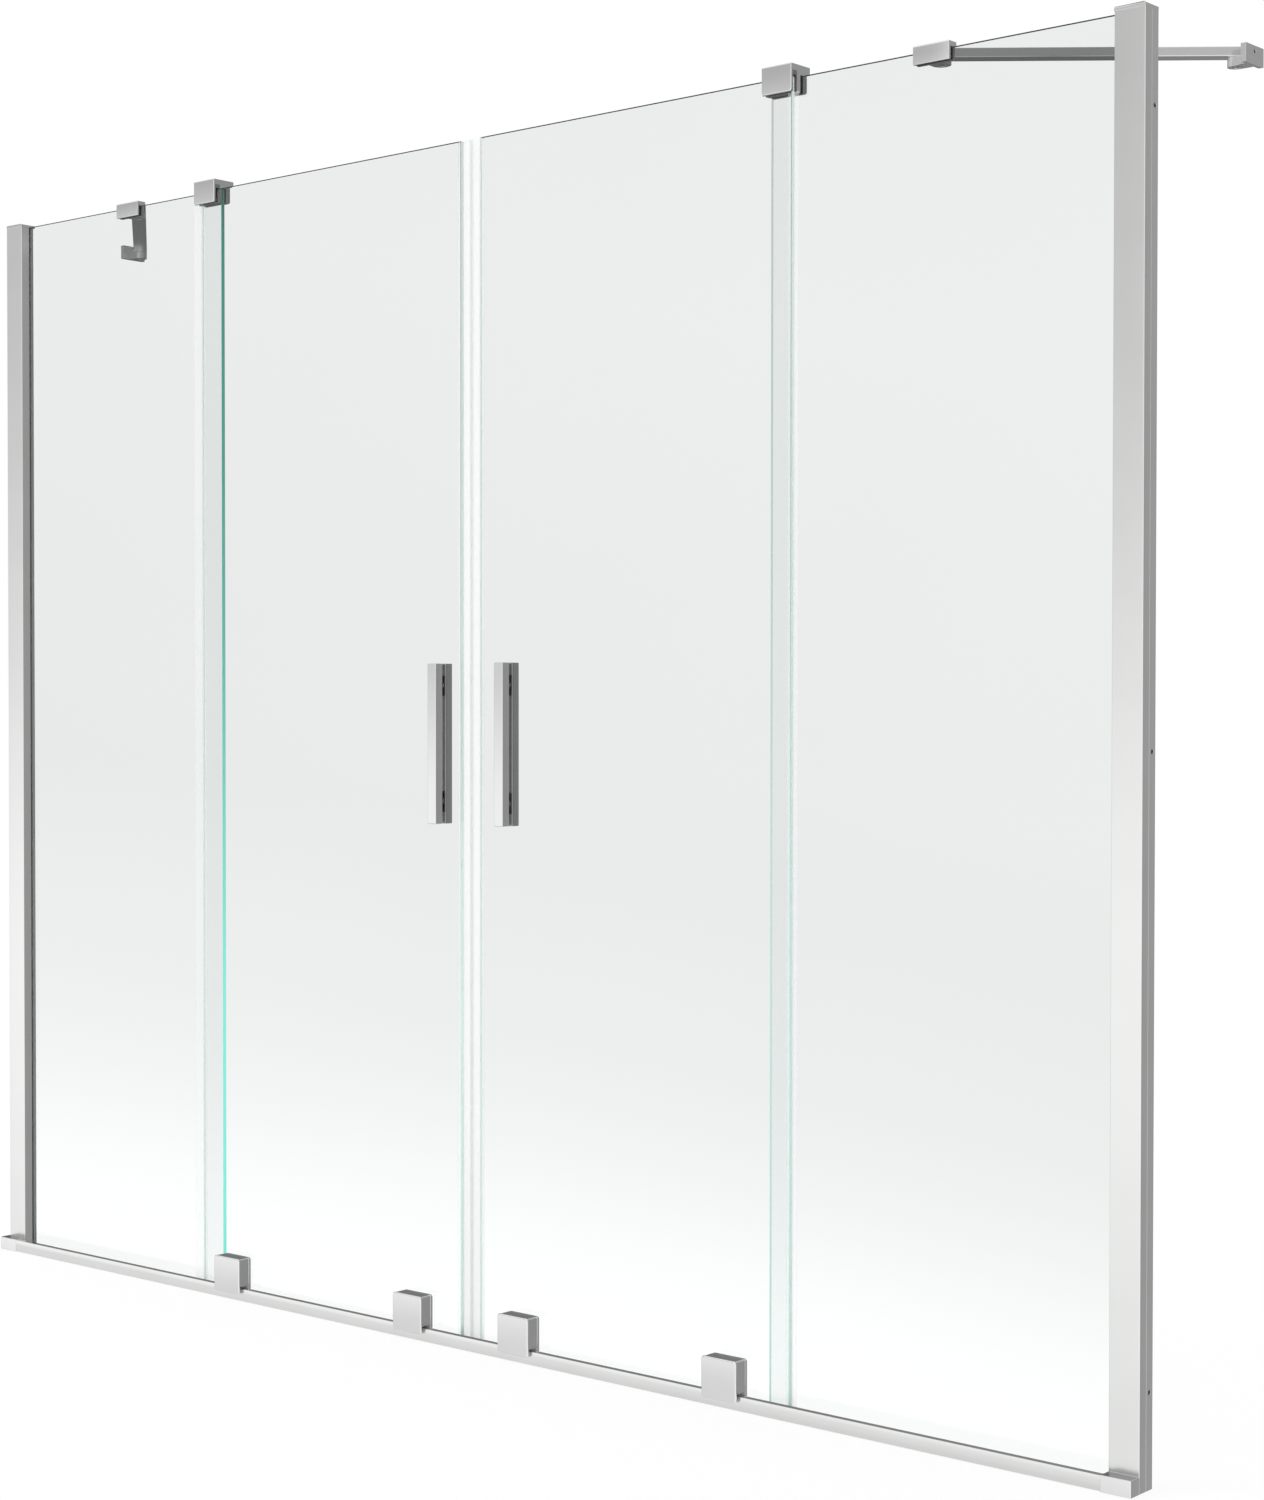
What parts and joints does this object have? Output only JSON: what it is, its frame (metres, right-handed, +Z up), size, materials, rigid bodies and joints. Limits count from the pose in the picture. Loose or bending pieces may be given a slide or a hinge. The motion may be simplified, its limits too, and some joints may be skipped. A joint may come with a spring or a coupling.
{
  "type": "sliding bath screen",
  "caption": "Glass bath screen with fixed end panes and sliding doors on rollers, bottom rail, wall profiles, bar handles and support bars to the side walls.",
  "frame": {"origin": "on the rail's underside, halfway between the walls, in the plane of the doors' front faces", "axes": "+X along the screen, +Y over the bath, +Z up"},
  "size_m": [1.8, 0.294, 1.509],
  "materials": {
    "clear_glass": "clear toughened glass with a green edge",
    "clear_seal": "clear flexible extrusion",
    "black_rubber": "matt",
    "grey_plastic": "hard slippery plastic",
    "steel": "stainless",
    "satin_aluminium": "satin anodised",
    "satin_chrome": "satin"
  },
  "bodies": {
    "frame": {"bottom_rail": "satin_aluminium", "guide_screws": "steel", "bar_screws": "steel", "left_wall_profile": "satin_aluminium", "left_cover_profile": "satin_aluminium", "left_profile_cap": "satin_aluminium", "left_glazing_gasket": "clear_seal", "left_fixed_glass": "clear_glass", "left_rail_end_cap": "satin_aluminium", "left_top_guide": "satin_chrome", "left_guide_liner": "black_rubber", "left_guide_slider": "grey_plastic", "left_bar_clamp": "satin_chrome", "left_clamp_liner": "black_rubber", "left_support_bar": "satin_chrome", "left_wall_bracket": "satin_chrome", "right_wall_profile": "satin_aluminium", "right_cover_profile": "satin_aluminium", "right_profile_cap": "satin_aluminium", "right_glazing_gasket": "clear_seal", "right_fixed_glass": "clear_glass", "right_rail_end_cap": "satin_aluminium", "right_top_guide": "satin_chrome", "right_guide_liner": "black_rubber", "right_guide_slider": "grey_plastic", "right_bar_clamp": "satin_chrome", "right_clamp_liner": "black_rubber", "right_support_bar": "satin_chrome", "right_wall_bracket": "satin_chrome"},
    "left_door": {"left_door_glass": "clear_glass", "left_magnet_seal": "clear_seal", "left_edge_seal": "clear_seal", "left_handle_front": "satin_chrome", "left_handle_back": "satin_chrome", "left_handle_pads": "black_rubber", "left_handle_bolts": "steel", "left_carriage_bolts": "steel", "left_axles": "steel", "left_inner_carriage_cover": "satin_chrome", "left_inner_carriage_base": "satin_chrome", "left_outer_carriage_cover": "satin_chrome", "left_outer_carriage_base": "satin_chrome"},
    "right_door": {"right_door_glass": "clear_glass", "right_magnet_seal": "clear_seal", "right_edge_seal": "clear_seal", "right_handle_front": "satin_chrome", "right_handle_back": "satin_chrome", "right_handle_pads": "black_rubber", "right_handle_bolts": "steel", "right_carriage_bolts": "steel", "right_axles": "steel", "right_inner_carriage_cover": "satin_chrome", "right_inner_carriage_base": "satin_chrome", "right_outer_carriage_cover": "satin_chrome", "right_outer_carriage_base": "satin_chrome"},
    "left_inner_roller": {"left_inner_wheel": "grey_plastic"},
    "left_outer_roller": {"left_outer_wheel": "grey_plastic"},
    "right_inner_roller": {"right_inner_wheel": "grey_plastic"},
    "right_outer_roller": {"right_outer_wheel": "grey_plastic"}
  },
  "joints": [
    {"name": "left_door_slide", "type": "slide", "parent": "frame", "child": "left_door", "axis": [-1, 0, 0], "range_m": [0, 0.37]},
    {"name": "right_door_slide", "type": "slide", "parent": "frame", "child": "right_door", "axis": [1, 0, 0], "range_m": [0, 0.37]},
    {"name": "left_inner_roller_spin", "type": "hinge", "parent": "left_door", "child": "left_inner_roller", "pos_m": [-0.0841, -0.0132, 0.0291], "axis": [0, 1, 0], "continuous": true},
    {"name": "left_outer_roller_spin", "type": "hinge", "parent": "left_door", "child": "left_outer_roller", "pos_m": [-0.4131, -0.0132, 0.0291], "axis": [0, 1, 0], "continuous": true},
    {"name": "right_inner_roller_spin", "type": "hinge", "parent": "right_door", "child": "right_inner_roller", "pos_m": [0.0901, -0.0132, 0.0291], "axis": [0, 1, 0], "continuous": true},
    {"name": "right_outer_roller_spin", "type": "hinge", "parent": "right_door", "child": "right_outer_roller", "pos_m": [0.3961, -0.0132, 0.0291], "axis": [0, 1, 0], "continuous": true}
  ],
  "couplings": [
    {"joint": "left_inner_roller_spin", "follows": "left_door_slide", "rad_per_m": -83.333},
    {"joint": "left_outer_roller_spin", "follows": "left_door_slide", "rad_per_m": -83.333},
    {"joint": "right_inner_roller_spin", "follows": "right_door_slide", "rad_per_m": 83.333},
    {"joint": "right_outer_roller_spin", "follows": "right_door_slide", "rad_per_m": 83.333}
  ]
}
